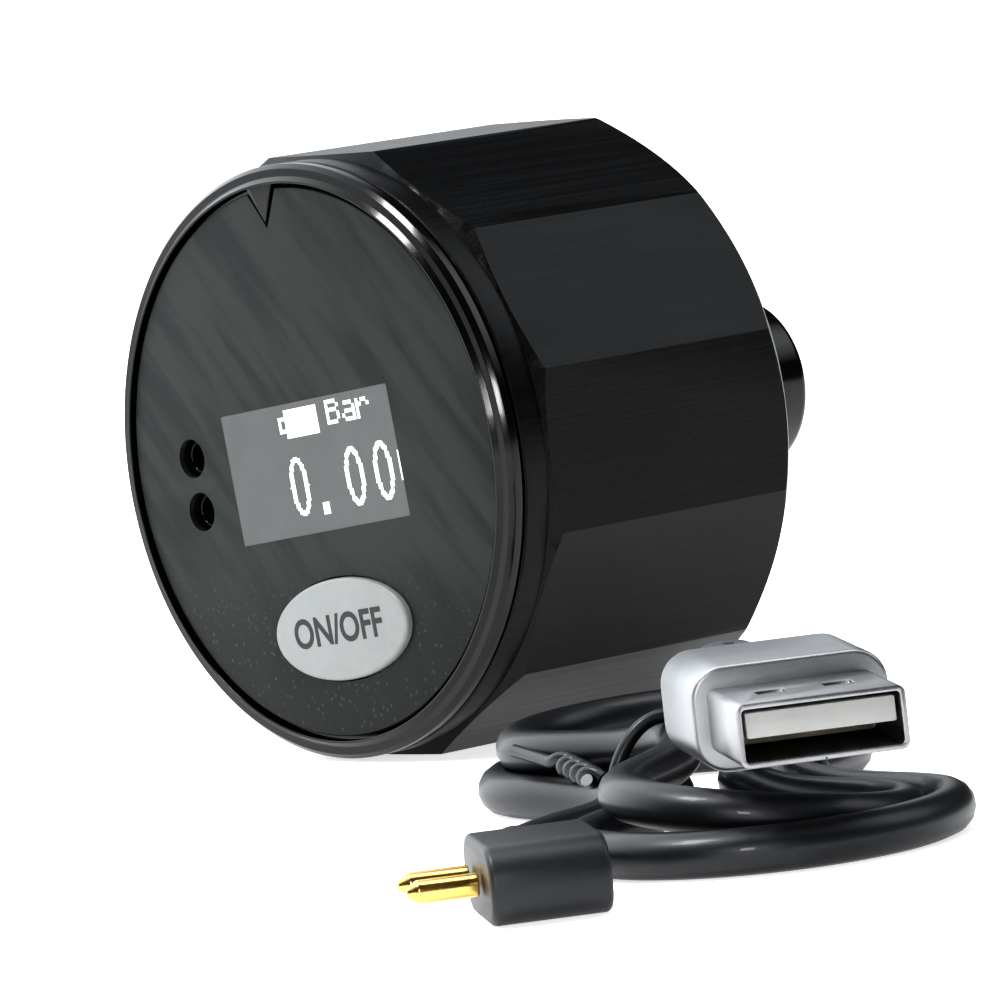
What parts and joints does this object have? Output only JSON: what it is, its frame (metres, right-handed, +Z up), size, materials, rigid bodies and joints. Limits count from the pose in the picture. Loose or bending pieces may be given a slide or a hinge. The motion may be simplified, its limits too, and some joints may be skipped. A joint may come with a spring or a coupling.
{
  "type": "digital pressure gauge for a suspension pump",
  "caption": "Faceted black gauge head with a round display face, an oval power key, charging sockets and a rear hose stem, with its tied charging lead beside it.",
  "frame": {"origin": "centre of the gauge's outline, on the surface that it lies on", "axes": "+Z up; -Y is the way the display face looks; +Y runs along the gauge to the end of its hose stem"},
  "size_m": [0.1284, 0.1153, 0.0491],
  "materials": {
    "anodised_body": "black anodised, satin",
    "gloss_black": "gloss black anodised",
    "face_film": "semi-gloss dark grey film",
    "screen": "smoked clear window over a lit display",
    "key_grey": "light grey printed key",
    "black_plastic": "moulded, fine texture",
    "black_rubber": "matt seal rubber",
    "circuit_board": "green solder mask",
    "brass": "turned, gold plated",
    "bright_steel": "bright steel",
    "cell_foil": "foil pouch",
    "ribbon_film": "polyimide flat cable",
    "foam": "closed-cell foam",
    "satin_alloy": "satin anodised",
    "clear_plastic": "milky translucent",
    "cord_jacket": "soft black jacket",
    "white_plastic": "white insulator"
  },
  "bodies": {
    "gauge": {"body_shell": "anodised_body", "bezel_ring": "gloss_black", "bezel_seal": "black_rubber", "face_label": "face_film", "display_window": "screen", "display_panel": "black_plastic", "display_foam": "foam", "display_ribbon": "ribbon_film", "inner_carrier": "black_plastic", "tact_switch": "black_plastic", "main_board": "circuit_board", "charging_socket_upper": "gloss_black", "charging_socket_lower": "gloss_black", "battery_pad": "foam", "battery_cell": "cell_foil", "battery_lead_plus": "white_plastic", "battery_lead_minus": "black_rubber", "sensor_ribbon": "ribbon_film", "board_screw_1": "bright_steel", "board_screw_2": "bright_steel", "board_screw_3": "bright_steel", "board_screw_4": "bright_steel", "pressure_sensor": "bright_steel", "sensor_seal": "black_rubber", "hose_stem": "gloss_black", "stem_washer": "black_rubber", "stem_nut": "brass"},
    "key": {"power_key": "key_grey"},
    "plunger": {"switch_plunger": "bright_steel"},
    "lead": {"cord_hank": "cord_jacket", "cord_tie": "cord_jacket", "cord_run_usb": "cord_jacket", "cord_run_plug": "cord_jacket", "usb_boot": "clear_plastic", "usb_grip": "satin_alloy", "usb_shell": "bright_steel", "usb_tongue": "white_plastic", "plug_body": "black_plastic", "plug_boot": "black_plastic", "plug_pin_left": "brass", "plug_pin_right": "brass"}
  },
  "joints": [
    {"name": "key_press", "type": "slide", "parent": "gauge", "child": "key", "axis": [0, 1, 0], "range_m": [0, 0.0004], "stiffness_N_per_m": 4000},
    {"name": "plunger_press", "type": "slide", "parent": "gauge", "child": "plunger", "axis": [0, 1, 0], "range_m": [0, 0.0004]},
    {"name": "lead_lift", "type": "slide", "parent": "gauge", "child": "lead", "axis": [0, 0, 1], "range_m": [0, 0.08]}
  ],
  "couplings": [
    {"joint": "plunger_press", "follows": "key_press", "ratio": 1}
  ]
}
